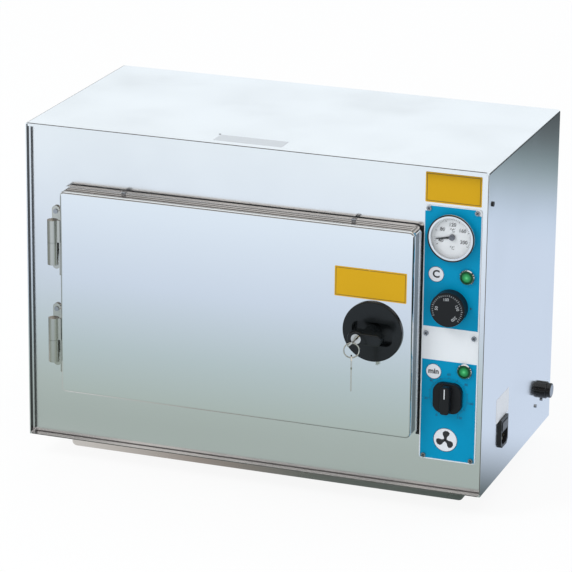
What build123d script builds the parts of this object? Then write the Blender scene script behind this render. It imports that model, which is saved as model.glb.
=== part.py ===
from build123d import *
import os
from math import cos, radians, sin

# Hot air sterilizer, in millimetres. +X is the user's right, +Y runs from the door to the rear, +Z is up.
# The origin is on the bench, under the middle of the front foot rail.

# Casing
casing_width = 580
casing_depth = 300
casing_height = 398
sheet = 1.2
bend_radius = 3
hem_height = 4.4
front_recess = 10
panel_flange = 20
pan_flange = 14
rear_inset = 2
rear_flange = 12

# Foot rails
foot_height = 28
rail_length = 510
rail_depth = 24
rail_setback = 50
rail_sheet = 2
rail_corner = 6

# Chamber, centred behind the door
chamber_width = 405
chamber_height = 213
chamber_depth = 211
chamber_corner = 10
liner_flange = 18
insulation_thickness = 25
rear_insulation = 25

# Door
door_width = 447
door_height = 255
door_x = -17.5
door_rise = 193.5
door_corner = 6
door_edge = 3
shell_depth = 13
pan_depth = 7
pan_step = 3
pan_lip = 6
gasket_width = 8
gasket_inset = 1.5
door_gap = 0.3
clip_spread = 145
clip_width = 5

# Hinges, with lift-off barrels
hinge_spread = 124
barrel_radius = 6.5
barrel_half = 28
hinge_axis_inset = 39
hinge_axis_forward = 11
hinge_pin_radius = 3
leaf_length = 80
leaf_width = 10
leaf_thickness = 2.5
door_leaf_thickness = 1.6

# Latch: rosette, T grip, spindle, cam and keeper
latch_x = 158
latch_rise = 194.5
rosette_diameter = 73.5
rosette_thickness = 4
recess_width = 50
recess_height = 28
recess_depth = 10
recess_corner = 8
recess_drop = 2
cup_wall = 1.6
grip_length = 41
grip_height = 13
grip_depth = 14
grip_reach = 34
stem_radius = 9
neck_radius = 6
spindle_size = 7
cam_radius = 37
cam_width = 12
cam_thickness = 3
keeper_height = 14
keeper_width = 11
keeper_sheet = 2.5

# Lock and keys
lock_offset = 9.4
lock_radius = 6
lock_boss = 8.6
lock_length = 12
key_thickness = 1.8
key_shank = 5.4
key_bow = 14
key_bow_length = 16
key_collar = 3
key_hole_offset = 3.8
key_hole_radius = 2.8
ring_radius = 9
ring_wire = 0.8
ring_turn = 20
spare_blade = 24

# Control column
plate_x = 245.6
plate_width = 69.5
plate_height = 313
plate_rise = 193
plate_thickness = 1
plate_corner = 4
plate_screw_width = 58.5
plate_screw_height = 304.7
screw_head_radius = 3
screw_head_height = 1.6
screw_radius = 1.6
thermometer_rise = 313.8
thermometer_diameter = 57
thermometer_reach = 8
thermometer_body = 26
lamp_x = 264.8
lamp_rises = (151.7, 267.3)
lamp_diameter = 18.5
lamp_reach = 4
lens_diameter = 13.5
lens_reach = 3
thermostat_rise = 229
thermostat_knob_diameter = 42
thermostat_knob_height = 15
timer_rise = 117
timer_knob_width = 35
timer_knob_height = 37
timer_knob_depth = 17
spindle_radius = 3

thermostat_body = (45, 34, False)
timer_body = (50, 34, True)
knob_hollow = 4
timer_knob_corner = 11
timer_knob_base = 7
timer_bar_width = 12
needle_length = 20
needle_width = 3
needle_hub = 3.5
needle_shaft = 1.2
needle_shaft_length = 8
needle_rest = 190

# Right side fittings
inlet_setback = 86.5
inlet_rise = 53.5
inlet_width = 28.5
inlet_height = 36
inlet_reach = 3.5
inlet_chamfer = 5
socket_width = 24
socket_height = 16.2
socket_depth = 16
socket_drop = 6.5
inlet_depth = 22
drawer_rise = 9
drawer_height = 11
pin_spacing = 7
pin_section = (2, 4)
pin_length = 13
fuse_setback = 259
fuse_rise = 48.5
fuse_ring_diameter = 21.5
fuse_ring_reach = 8
fuse_cap_diameter = 18.5
fuse_cap_reach = 5
fuse_body_length = 32
fuse_stem_radius = 5
fuse_stem_length = 12
fuse_radius = 2.6
fuse_length = 20
cutout_setback = 246.8
cutout_flange = 3.2
cutout_body_radius = 8
cutout_body_depth = 12
cutout_rise = 35
cutout_screw_head = 2.2
cutout_spacing = 26.6
side_screw_setback = 16.8
side_screw_rise = 356.3

# Fan, baffle and heater behind the chamber
baffle_stand = 30
baffle_margin = 14
impeller_radius = 52
impeller_depth = 16
blade_count = 12
fan_shaft_radius = 4
motor_width = 74
motor_depth = 42
heater_radius = 72
heater_tube = 4
heater_opening = 20
heater_leg_reach = 12

# Tray racks and trays
rack_sheet = 1.5
rack_ledge = 9
rack_front = 12
ledge_rises = (42, 92, 142)
tray_levels = (0, 2)
tray_height = 18
tray_depth = 140
tray_sheet = 1
tray_side_gap = 1.5
tray_start = 20

# Clearances
fit = 0.1
pin_fit = 0.05
seat = 0.3

# Places worked out from the sizes above
front_edge_y = -(rail_setback + rail_depth / 2)
back_edge_y = front_edge_y + casing_depth
panel_y = front_edge_y + front_recess
panel_back_y = panel_y + sheet
plate_y = panel_y - plate_thickness
base_z = foot_height
top_z = base_z + casing_height
floor_z = base_z + sheet
ceiling_z = top_z - sheet
mid_z = (base_z + top_z) / 2
half_width = casing_width / 2
inner_half = half_width - sheet
rear_panel_y = back_edge_y - rear_inset - sheet

door_z = base_z + door_rise
gasket_back_y = panel_y - door_gap
gasket_front_y = panel_y - 3
pan_front_y = gasket_front_y - pan_depth
pan_floor_y = gasket_front_y - sheet
door_face_y = pan_front_y - shell_depth
door_left = door_x - door_width / 2

hinge_x = -half_width + hinge_axis_inset
hinge_y = front_edge_y - hinge_axis_forward
hinge_zs = (door_z - hinge_spread / 2, door_z + hinge_spread / 2)

liner_back_y = panel_back_y + chamber_depth
chamber_left = door_x - chamber_width / 2
chamber_right = door_x + chamber_width / 2
chamber_floor = door_z - chamber_height / 2

latch_z = base_z + latch_rise
rosette_y = door_face_y - rosette_thickness
recess_floor_y = rosette_y + recess_depth
grip_face_y = door_face_y - grip_reach
grip_back_y = grip_face_y + grip_depth
spindle_start_y = grip_back_y - 2
cam_back_y = pan_floor_y - 4
cam_front_y = cam_back_y - cam_thickness
keeper_front_y = cam_front_y - seat - keeper_sheet
keeper_left = latch_x + cam_radius + seat - (keeper_width - keeper_sheet)

lock_x = latch_x - lock_offset
lock_face_y = grip_face_y - 0.5
key_hole_y = lock_face_y - key_collar - key_bow_length / 2 - key_hole_offset
ring_z = latch_z - ring_radius


def facing_front(y):
    """Sketch plane at depth y, seen by the user: its x is +X and its y is +Z."""
    return Plane(origin=(0, y, 0), x_dir=(1, 0, 0), z_dir=(0, -1, 0))


def facing_right(x):
    """Sketch plane at x, seen from the right: its x is +Y and its y is +Z."""
    return Plane(origin=(x, 0, 0), x_dir=(0, 1, 0), z_dir=(1, 0, 0))


def block(x_range, y_range, z_range, mode=Mode.ADD):
    """Box between two corners, for straight sheet edges, slots and cut-outs."""
    centre = [(low + high) / 2 for low, high in (x_range, y_range, z_range)]
    sizes = [high - low for low, high in (x_range, y_range, z_range)]
    with Locations(Vector(*centre)):
        Box(*sizes, mode=mode)


def finish(part, name):
    """Label a finished piece and write it to its own file."""
    part.label = name
    export_step(part, f"parts/{name}.step")


os.makedirs("parts", exist_ok=True)

# Casing wrap: one sheet bent over the top and down both sides, hemmed along the top front edge
side_inlet_y = front_edge_y + inlet_setback
side_inlet_z = base_z + inlet_rise
fuse_y = front_edge_y + fuse_setback
fuse_z = base_z + fuse_rise
cutout_y = front_edge_y + cutout_setback
cutout_z = base_z + cutout_rise
side_screw_y = front_edge_y + side_screw_setback
side_screw_z = base_z + side_screw_rise
inlet_body_width = inlet_width - 2
inlet_body_height = inlet_height - 5
fuse_body_radius = 8
cutout_screws = [(cutout_y + step * cutout_spacing / 2, cutout_z) for step in (-1, 1)]

with BuildPart() as casing_wrap:
    with BuildSketch(facing_front(front_edge_y)) as wrap_outline:
        with Locations((0, mid_z)):
            Rectangle(casing_width, casing_height)
        fillet(wrap_outline.vertices().group_by(Axis.Y)[-1], bend_radius)
    extrude(amount=-casing_depth)
    with BuildSketch(facing_front(front_edge_y)) as wrap_inside:
        with Locations((0, mid_z - sheet / 2)):
            Rectangle(2 * inner_half, casing_height - sheet)
        fillet(wrap_inside.vertices().group_by(Axis.Y)[-1], bend_radius - sheet)
    extrude(amount=-casing_depth, mode=Mode.SUBTRACT)
    hem_half = half_width - bend_radius
    block((-hem_half, hem_half), (front_edge_y, front_edge_y + sheet), (top_z - hem_height, ceiling_z))
    with BuildSketch(facing_right(half_width)):
        with Locations((side_inlet_y, side_inlet_z)):
            Rectangle(inlet_body_width + 2 * fit, inlet_body_height + 2 * fit)
        with Locations((fuse_y, fuse_z)):
            Circle(fuse_body_radius + fit)
        with Locations(cutout_screws):
            Circle(screw_radius + fit)
    extrude(amount=-2 * sheet, mode=Mode.SUBTRACT)
    with BuildSketch(facing_right(half_width)):
        with Locations((side_screw_y, side_screw_z)):
            Circle(screw_radius + fit)
    extrude(amount=-casing_width, mode=Mode.SUBTRACT)
finish(casing_wrap.part, "casing_wrap")

# Bottom pan: the floor sheet, with a flange up inside each side of the wrap
with BuildPart() as bottom_pan:
    block((-inner_half, inner_half), (front_edge_y, back_edge_y), (base_z, floor_z))
    for low, high in ((-inner_half, sheet - inner_half), (inner_half - sheet, inner_half)):
        block((low, high), (panel_back_y + panel_flange, rear_panel_y - rear_flange), (floor_z, floor_z + pan_flange))
finish(bottom_pan.part, "bottom_pan")

# Foot rails: pressed channels under the casing, open towards each other, with rounded lower corners


def foot_rail(outer_y, inward):
    """Rail whose web stands at outer_y, with its hollow side inward (1 is towards +Y, -1 towards -Y)."""
    with BuildPart() as rail:
        with BuildSketch(facing_front(outer_y)) as web:
            with Locations((0, foot_height / 2)):
                Rectangle(rail_length, foot_height)
            fillet(web.vertices().group_by(Axis.Y)[0], rail_corner)
        extrude(amount=-inward * rail_depth)
        with BuildSketch(facing_front(outer_y + inward * rail_sheet)) as hollow:
            with Locations((0, foot_height / 2)):
                Rectangle(rail_length - 2 * rail_sheet, foot_height - 2 * rail_sheet)
            fillet(hollow.vertices().group_by(Axis.Y)[0], rail_corner - rail_sheet)
        extrude(amount=-inward * rail_depth, mode=Mode.SUBTRACT)
    return rail.part


front_rail_y = -rail_depth / 2
rear_rail_y = back_edge_y - rail_setback
finish(foot_rail(front_rail_y, 1), "front_foot_rail")
finish(foot_rail(rear_rail_y, -1), "rear_foot_rail")

# Rear panel: flanged sheet with ventilation slots behind the fan motor
vent_columns = 9
vent_pitch = 11
vent_slot = (42, 4)
with BuildPart() as rear_panel:
    with BuildSketch(facing_front(rear_panel_y)) as rear_outline:
        with Locations((0, mid_z)):
            Rectangle(2 * inner_half, ceiling_z - floor_z)
        fillet(rear_outline.vertices().group_by(Axis.Y)[-1], bend_radius - sheet)
    extrude(amount=-sheet)
    for low, high in ((-inner_half, sheet - inner_half), (inner_half - sheet, inner_half)):
        block((low, high), (rear_panel_y - rear_flange, rear_panel_y), (floor_z + pan_flange + 1, ceiling_z - 3))
    with BuildSketch(facing_front(rear_panel_y)):
        for rise in (-vent_slot[0] * 0.6, vent_slot[0] * 0.6):
            with Locations((door_x, door_z + rise)):
                with GridLocations(vent_pitch, 1, vent_columns, 1):
                    SlotOverall(*vent_slot, rotation=90)
    extrude(amount=-sheet, mode=Mode.SUBTRACT)
finish(rear_panel.part, "rear_panel")

# Front panel: flanged sheet behind the door and the control plate, open at the chamber's mouth
thermometer_z = base_z + thermometer_rise
thermostat_z = base_z + thermostat_rise
timer_z = base_z + timer_rise
lamp_zs = [base_z + rise for rise in lamp_rises]
plate_z = base_z + plate_rise
thermometer_case_radius = thermometer_diameter / 2 - 3
lamp_body_radius = 6.5
thermostat_neck = 5
leaf_x = hinge_x - 4
leaf_screws = [(leaf_x, z + rise * 33) for z in hinge_zs for rise in (-1, 1)]
plate_screws = [
    (plate_x + side * plate_screw_width / 2, plate_z + rise * plate_screw_height / 2)
    for side in (-1, 1)
    for rise in (-1, 0, 1)
]


def control_holes():
    """Holes that the control plate and the front panel share, in the sketch being built."""
    with Locations((plate_x, thermometer_z)):
        Circle(thermometer_case_radius + fit, mode=Mode.SUBTRACT)
    with Locations([(lamp_x, z) for z in lamp_zs]):
        Circle(lamp_body_radius + fit, mode=Mode.SUBTRACT)
    with Locations((plate_x, thermostat_z), (plate_x, timer_z)):
        Circle(thermostat_neck + fit, mode=Mode.SUBTRACT)
    with Locations(plate_screws):
        Circle(screw_radius + fit, mode=Mode.SUBTRACT)


with BuildPart() as front_panel:
    with BuildSketch(facing_front(panel_back_y)) as panel_outline:
        with Locations((0, mid_z)):
            Rectangle(2 * inner_half, ceiling_z - floor_z)
        fillet(panel_outline.vertices().group_by(Axis.Y)[-1], bend_radius - sheet)
        with Locations((door_x, door_z)):
            RectangleRounded(chamber_width, chamber_height, chamber_corner, mode=Mode.SUBTRACT)
        with Locations(leaf_screws):
            Circle(screw_radius + fit, mode=Mode.SUBTRACT)
        control_holes()
    extrude(amount=sheet)
    flange_y = (panel_back_y, panel_back_y + panel_flange)
    for low, high in ((-inner_half, sheet - inner_half), (inner_half - sheet, inner_half)):
        block((low, high), flange_y, (floor_z, ceiling_z - bend_radius))
    with BuildSketch(facing_right(half_width)):
        with Locations((side_screw_y, side_screw_z)):
            Circle(screw_radius + fit)
    extrude(amount=-casing_width, mode=Mode.SUBTRACT)
finish(front_panel.part, "front_panel")

# Casing screws: one through each side of the wrap into the front panel's flange
screw_length = 8
with BuildPart() as casing_screws:
    for side in (-1, 1):
        face = Plane(origin=(side * half_width, side_screw_y, side_screw_z), z_dir=(side, 0, 0))
        with BuildSketch(face):
            Circle(screw_head_radius)
        extrude(amount=screw_head_height)
        with BuildSketch(face):
            Circle(screw_radius)
        extrude(amount=-screw_length)
finish(casing_screws.part, "casing_screws")

# Chamber liner: seamless-cornered box with a flange that seats on the back of the front panel
heater_leg = heater_radius * sin(radians(heater_opening))
heater_drop = heater_radius * cos(radians(heater_opening))
heater_y = liner_back_y - baffle_stand / 2
with BuildPart() as chamber_liner:
    with BuildSketch(facing_front(panel_back_y)):
        with Locations((door_x, door_z)):
            RectangleRounded(
                chamber_width + 2 * liner_flange, chamber_height + 2 * liner_flange, chamber_corner
            )
    extrude(amount=-sheet)
    with BuildSketch(facing_front(panel_back_y)):
        with Locations((door_x, door_z)):
            RectangleRounded(chamber_width + 2 * sheet, chamber_height + 2 * sheet, chamber_corner + sheet)
    extrude(amount=-(chamber_depth + sheet))
    with BuildSketch(facing_front(panel_back_y)):
        with Locations((door_x, door_z)):
            RectangleRounded(chamber_width, chamber_height, chamber_corner)
    extrude(amount=-chamber_depth, mode=Mode.SUBTRACT)
    with BuildSketch(facing_front(liner_back_y)):
        with Locations((door_x, door_z)):
            Circle(fan_shaft_radius + 1)
        with Locations([(door_x + side * heater_leg, door_z - heater_drop) for side in (-1, 1)]):
            Circle(heater_tube + fit)
    extrude(amount=-sheet, mode=Mode.SUBTRACT)
finish(chamber_liner.part, "chamber_liner")

# Insulation: mineral wool round the liner, cut out at the back for the motor's bracket
insulation_front_y = panel_back_y + sheet
liner_outside_y = liner_back_y + sheet
insulation_back_y = liner_outside_y + rear_insulation
bracket_size = 2 * heater_radius + 26
with BuildPart() as insulation:
    with BuildSketch(facing_front(insulation_front_y)):
        with Locations((door_x, door_z)):
            Rectangle(
                chamber_width + 2 * (sheet + insulation_thickness),
                chamber_height + 2 * (sheet + insulation_thickness),
            )
    extrude(amount=-(insulation_back_y - insulation_front_y))
    with BuildSketch(facing_front(insulation_front_y)):
        with Locations((door_x, door_z)):
            RectangleRounded(chamber_width + 2 * sheet, chamber_height + 2 * sheet, chamber_corner + sheet)
    extrude(amount=-(liner_outside_y - insulation_front_y), mode=Mode.SUBTRACT)
    with BuildSketch(facing_front(liner_outside_y)):
        with Locations((door_x, door_z)):
            Rectangle(bracket_size, bracket_size)
    extrude(amount=-rear_insulation, mode=Mode.SUBTRACT)
finish(insulation.part, "insulation")

# Air baffle: sheet in front of the fan, on four spacers, with an intake grille in its middle
baffle_y = liner_back_y - baffle_stand
intake_rings = ((20, 6), (38, 12))
intake_slot = (12, 5)
with BuildPart() as air_baffle:
    baffle_width = chamber_width - 2 * baffle_margin
    baffle_height = chamber_height - 2 * baffle_margin
    with BuildSketch(facing_front(baffle_y + sheet)):
        with Locations((door_x, door_z)):
            RectangleRounded(baffle_width, baffle_height, chamber_corner)
        for ring, count in intake_rings:
            with Locations((door_x, door_z)):
                with PolarLocations(ring, count):
                    SlotOverall(*intake_slot, mode=Mode.SUBTRACT)
    extrude(amount=sheet)
    with BuildSketch(facing_front(baffle_y + sheet)):
        with Locations((door_x, door_z)):
            with GridLocations(baffle_width - 30, baffle_height - 30, 2, 2):
                Circle(4)
    extrude(amount=-(baffle_stand - sheet))
finish(air_baffle.part, "air_baffle")

# Heater: a tube bent into an open ring round the fan, its two legs passing out through the liner
with BuildPart() as heater:
    with BuildLine(facing_front(heater_y)) as heater_path:
        CenterArc((door_x, door_z), heater_radius, heater_opening - 90, 360 - 2 * heater_opening)
    with BuildSketch(Plane(origin=heater_path.line @ 0, z_dir=heater_path.line % 0)):
        Circle(heater_tube)
    sweep()
    for side in (0, 1):
        end = heater_path.line @ side
        with Locations(end):
            Sphere(heater_tube)
        with BuildSketch(facing_front(heater_y)):
            with Locations((end.X, end.Z)):
                Circle(heater_tube)
        extrude(amount=-(liner_outside_y + heater_leg_reach - heater_y))
finish(heater.part, "heater")

# Fan: impeller with inclined blades on a shaft that turns in the motor
fan_front_y = liner_back_y - baffle_stand / 2 - impeller_depth / 2
fan_back_y = fan_front_y + impeller_depth
bracket_y = liner_outside_y + rear_insulation
motor_y = bracket_y + rack_sheet
blade = (24, 1.4)
blade_ring = 37
blade_turn = 35
with BuildPart() as fan_impeller:
    with BuildSketch(facing_front(fan_back_y)):
        with Locations((door_x, door_z)):
            Circle(impeller_radius)
    extrude(amount=1.5)
    with BuildSketch(facing_front(fan_back_y)):
        with Locations((door_x, door_z)):
            Circle(2.5 * fan_shaft_radius)
            with PolarLocations(blade_ring, blade_count):
                Rectangle(*blade, rotation=blade_turn)
    extrude(amount=impeller_depth)
    with BuildSketch(facing_front(fan_back_y)):
        with Locations((door_x, door_z)):
            Circle(fan_shaft_radius)
    extrude(amount=impeller_depth, mode=Mode.SUBTRACT)
finish(fan_impeller.part, "fan_impeller")

shaft_end_y = motor_y + 20
with BuildPart() as fan_shaft:
    with BuildSketch(facing_front(fan_front_y)):
        with Locations((door_x, door_z)):
            Circle(fan_shaft_radius)
    extrude(amount=-(shaft_end_y - fan_front_y))
finish(fan_shaft.part, "fan_shaft")

# Motor bracket: plate held off the liner on four pillars
with BuildPart() as motor_bracket:
    with BuildSketch(facing_front(bracket_y)):
        with Locations((door_x, door_z)):
            RectangleRounded(bracket_size, bracket_size, chamber_corner)
            Circle(fan_shaft_radius + 1, mode=Mode.SUBTRACT)
    extrude(amount=-rack_sheet)
    with BuildSketch(facing_front(bracket_y)):
        with Locations((door_x, door_z)):
            with GridLocations(bracket_size - 20, bracket_size - 20, 2, 2):
                Circle(4)
    extrude(amount=rear_insulation)
finish(motor_bracket.part, "motor_bracket")

# Fan motor: laminated stack with a bearing housing behind it
with BuildPart() as fan_motor:
    with BuildSketch(facing_front(motor_y)):
        with Locations((door_x, door_z)):
            RectangleRounded(motor_width, motor_width, 6)
    extrude(amount=-0.6 * motor_depth)
    with BuildSketch(facing_front(motor_y)):
        with Locations((door_x, door_z)):
            Circle(motor_width / 3)
    extrude(amount=-motor_depth)
    with BuildSketch(facing_front(motor_y)):
        with Locations((door_x, door_z)):
            Circle(fan_shaft_radius + pin_fit)
    extrude(amount=-(shaft_end_y + seat - motor_y), mode=Mode.SUBTRACT)
finish(fan_motor.part, "fan_motor")

# Tray racks: a slotted plate on each side wall of the chamber, with three ledges
rack_low = chamber_floor + chamber_corner
rack_high = chamber_floor + ledge_rises[-1] + chamber_corner
rack_y = (panel_back_y + rack_front, baffle_y - rack_front)
vent_hole = (60, 10)


def tray_rack(wall_x, inward):
    """Rack on the chamber wall at wall_x, its ledges reaching inward (1 is towards +X)."""
    face_x = wall_x + inward * rack_sheet
    ledge_x = face_x + inward * rack_ledge
    with BuildPart() as rack:
        block(sorted((wall_x, face_x)), rack_y, (rack_low, rack_high))
        for rise in ledge_rises:
            ledge_z = chamber_floor + rise
            block(sorted((face_x, ledge_x)), rack_y, (ledge_z - rack_sheet, ledge_z))
        with BuildSketch(facing_right(wall_x)):
            for rise in ledge_rises:
                with Locations((sum(rack_y) / 2, chamber_floor + rise - 14)):
                    with GridLocations(80, 1, 2, 1):
                        SlotOverall(*vent_hole)
        extrude(amount=inward * rack_sheet, mode=Mode.SUBTRACT)
    return rack.part


finish(tray_rack(chamber_left, 1), "left_tray_rack")
finish(tray_rack(chamber_right, -1), "right_tray_rack")

# Trays: shallow slotted pans that slide on the ledges
tray_width = chamber_width - 2 * (rack_sheet + tray_side_gap)
tray_front_y = panel_back_y + tray_start
tray_slots = 14
for name, level in zip(("lower_tray", "upper_tray"), tray_levels):
    tray_z = chamber_floor + ledge_rises[level]
    with BuildPart() as tray:
        with BuildSketch(Plane.XY.offset(tray_z)):
            with Locations((door_x, tray_front_y + tray_depth / 2)):
                RectangleRounded(tray_width, tray_depth, chamber_corner)
        extrude(amount=tray_height)
        with BuildSketch(Plane.XY.offset(tray_z + tray_sheet)):
            with Locations((door_x, tray_front_y + tray_depth / 2)):
                RectangleRounded(
                    tray_width - 2 * tray_sheet, tray_depth - 2 * tray_sheet, chamber_corner - tray_sheet
                )
        extrude(amount=tray_height, mode=Mode.SUBTRACT)
        with BuildSketch(Plane.XY.offset(tray_z)):
            with Locations((door_x, tray_front_y + tray_depth / 2)):
                with GridLocations(tray_width / (tray_slots + 1), 1, tray_slots, 1):
                    SlotOverall(0.7 * tray_depth, 6, rotation=90)
        extrude(amount=tray_sheet, mode=Mode.SUBTRACT)
    finish(tray.part, name)

# Hinges: fixed lower halves on the front panel, lift-off upper halves on the door's left edge
for name, z in zip(("lower", "upper"), hinge_zs):
    with BuildPart() as frame_leaf:
        with BuildSketch(facing_front(panel_y)):
            with Locations((leaf_x, z)):
                SlotOverall(leaf_length, leaf_width, rotation=90)
            with Locations([screw for screw in leaf_screws if abs(screw[1] - z) < leaf_length / 2]):
                Circle(screw_radius + fit, mode=Mode.SUBTRACT)
        extrude(amount=leaf_thickness)
        block(
            (hinge_x - 1.5, hinge_x + 1.5),
            (hinge_y, panel_y - leaf_thickness),
            (z - barrel_half, z),
        )
        with BuildSketch(Plane.XY.offset(z - barrel_half)):
            with Locations((hinge_x, hinge_y)):
                Circle(barrel_radius)
        extrude(amount=barrel_half)
        with BuildSketch(Plane.XY.offset(z - barrel_half)):
            with Locations((hinge_x, hinge_y)):
                Circle(hinge_pin_radius)
        extrude(amount=barrel_half, mode=Mode.SUBTRACT)
    finish(frame_leaf.part, f"{name}_hinge_frame_leaf")

    with BuildPart() as door_leaf:
        with BuildSketch(Plane.XY.offset(z + seat)):
            with Locations((hinge_x, hinge_y)):
                Circle(barrel_radius)
        extrude(amount=barrel_half - seat)
        block(
            (hinge_x, door_left),
            (hinge_y - 1.5, hinge_y + 1.5),
            (z + seat, z + barrel_half),
        )
        with BuildSketch(facing_right(door_left)):
            with Locations((door_face_y + shell_depth / 2 + 1, z)):
                RectangleRounded(shell_depth - 2, leaf_length + 3, 2)
        extrude(amount=-door_leaf_thickness)
        with BuildSketch(Plane.XY.offset(z + seat)):
            with Locations((hinge_x, hinge_y)):
                Circle(hinge_pin_radius + pin_fit)
        extrude(amount=barrel_half - 2, mode=Mode.SUBTRACT)
    finish(door_leaf.part, f"{name}_hinge_door_leaf")

with BuildPart() as hinge_pins:
    for z in hinge_zs:
        with BuildSketch(Plane.XY.offset(z - barrel_half)):
            with Locations((hinge_x, hinge_y)):
                Circle(hinge_pin_radius)
        extrude(amount=2 * barrel_half - 4)
finish(hinge_pins.part, "hinge_pins")

with BuildPart() as hinge_screws:
    with BuildSketch(facing_front(panel_y - leaf_thickness)):
        with Locations(leaf_screws):
            Circle(screw_head_radius)
    extrude(amount=1)
    with BuildSketch(facing_front(panel_y - leaf_thickness)):
        with Locations(leaf_screws):
            Circle(screw_radius)
    extrude(amount=-screw_length)
finish(hinge_screws.part, "hinge_screws")

# Door shell: pressed front with rounded edges, open towards the chamber
with BuildPart() as door_shell:
    with BuildSketch(facing_front(pan_front_y)):
        with Locations((door_x, door_z)):
            RectangleRounded(door_width, door_height, door_corner)
    extrude(amount=shell_depth)
    fillet(door_shell.faces().sort_by(Axis.Y)[0].edges(), door_edge)
    with BuildSketch(facing_front(pan_front_y)):
        with Locations((door_x, door_z)):
            RectangleRounded(door_width - 2 * sheet, door_height - 2 * sheet, door_corner - sheet)
    extrude(amount=shell_depth - sheet, mode=Mode.SUBTRACT)
    inside_face = door_shell.faces().filter_by(Axis.Y).sort_by(Axis.Y)[1]
    fillet(inside_face.edges(), door_edge - sheet)
    with BuildSketch(facing_front(door_face_y)):
        with Locations((latch_x, latch_z - recess_drop)):
            RectangleRounded(recess_width + 2 * cup_wall, recess_height + 2 * cup_wall, recess_corner + cup_wall)
    extrude(amount=-sheet, mode=Mode.SUBTRACT)
finish(door_shell.part, "door_shell")

# Door pan: the inner half of the door, with a lip that the shell is welded to and a slot for the keeper
pan_outline = (door_width + 2 * pan_step, door_height + 2 * pan_step)
pan_mouth = [size - 2 * (sheet + pan_lip) for size in pan_outline]
keeper_slot = (keeper_width + 4, keeper_height + 5)
keeper_x = keeper_left + keeper_width / 2
with BuildPart() as door_pan:
    with BuildSketch(facing_front(gasket_front_y)):
        with Locations((door_x, door_z)):
            RectangleRounded(*pan_outline, door_corner + pan_step)
    extrude(amount=pan_depth)
    with BuildSketch(facing_front(pan_floor_y)):
        with Locations((door_x, door_z)):
            RectangleRounded(pan_outline[0] - 2 * sheet, pan_outline[1] - 2 * sheet, door_corner + pan_step - sheet)
    extrude(amount=pan_depth - 2 * sheet, mode=Mode.SUBTRACT)
    with BuildSketch(facing_front(pan_floor_y)):
        with Locations((door_x, door_z)):
            RectangleRounded(*pan_mouth, door_corner - pan_step)
    extrude(amount=pan_depth, mode=Mode.SUBTRACT)
    with BuildSketch(facing_front(gasket_front_y)):
        with Locations((keeper_x, latch_z)):
            Rectangle(*keeper_slot)
    extrude(amount=sheet, mode=Mode.SUBTRACT)
finish(door_pan.part, "door_pan")

# Door insulation, with a pocket round the latch
pocket_x = (latch_x - recess_width / 2 - 6, keeper_left + keeper_width + 2)
pocket_z = (latch_z - recess_height / 2 - 8, latch_z + cam_radius + 4)
with BuildPart() as door_insulation:
    with BuildSketch(facing_front(pan_floor_y)):
        with Locations((door_x, door_z)):
            RectangleRounded(*pan_mouth, door_corner - pan_step)
    extrude(amount=pan_floor_y - door_face_y - sheet)
    block(pocket_x, (door_face_y, pan_floor_y), pocket_z, mode=Mode.SUBTRACT)
finish(door_insulation.part, "door_insulation")

# Door gasket: a frame of heat-resistant rubber on the back of the pan
with BuildPart() as door_gasket:
    gasket_outline = [size - 2 * gasket_inset for size in pan_outline]
    with BuildSketch(facing_front(gasket_back_y)):
        with Locations((door_x, door_z)):
            RectangleRounded(*gasket_outline, door_corner + pan_step - gasket_inset)
            RectangleRounded(
                gasket_outline[0] - 2 * gasket_width,
                gasket_outline[1] - 2 * gasket_width,
                door_corner,
                mode=Mode.SUBTRACT,
            )
    extrude(amount=gasket_back_y - gasket_front_y)
finish(door_gasket.part, "door_gasket")

# Door clips: two bent tabs over the step between the shell and the pan
pan_top_z = door_z + pan_outline[1] / 2
clip_sheet = 1
with BuildPart() as door_clips:
    for side in (-1, 1):
        clip_x = door_x + side * clip_spread
        reach = (clip_x - clip_width / 2, clip_x + clip_width / 2)
        block(reach, (pan_front_y - clip_sheet, pan_front_y), (pan_top_z - pan_step, pan_top_z + clip_sheet))
        block(reach, (pan_front_y, gasket_front_y - sheet), (pan_top_z, pan_top_z + clip_sheet))
finish(door_clips.part, "door_clips")

# Latch rosette: round plate with a finger recess whose floor carries the handle's neck
with BuildPart() as latch_rosette:
    with BuildSketch(facing_front(door_face_y)):
        with Locations((latch_x, latch_z)):
            Circle(rosette_diameter / 2)
    extrude(amount=rosette_thickness)
    fillet(latch_rosette.faces().sort_by(Axis.Y)[0].edges(), 1.5)
    cup_back_y = recess_floor_y + cup_wall
    with BuildSketch(facing_front(cup_back_y)):
        with Locations((latch_x, latch_z - recess_drop)):
            RectangleRounded(recess_width + 2 * cup_wall, recess_height + 2 * cup_wall, recess_corner + cup_wall)
    extrude(amount=cup_back_y - door_face_y)
    with BuildSketch(facing_front(recess_floor_y)):
        with Locations((latch_x, latch_z - recess_drop)):
            RectangleRounded(recess_width, recess_height, recess_corner)
    extrude(amount=recess_depth, mode=Mode.SUBTRACT)
    with BuildSketch(facing_front(cup_back_y)):
        with Locations((latch_x, latch_z)):
            Circle(neck_radius + fit)
    extrude(amount=cup_wall, mode=Mode.SUBTRACT)
finish(latch_rosette.part, "latch_rosette")

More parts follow.
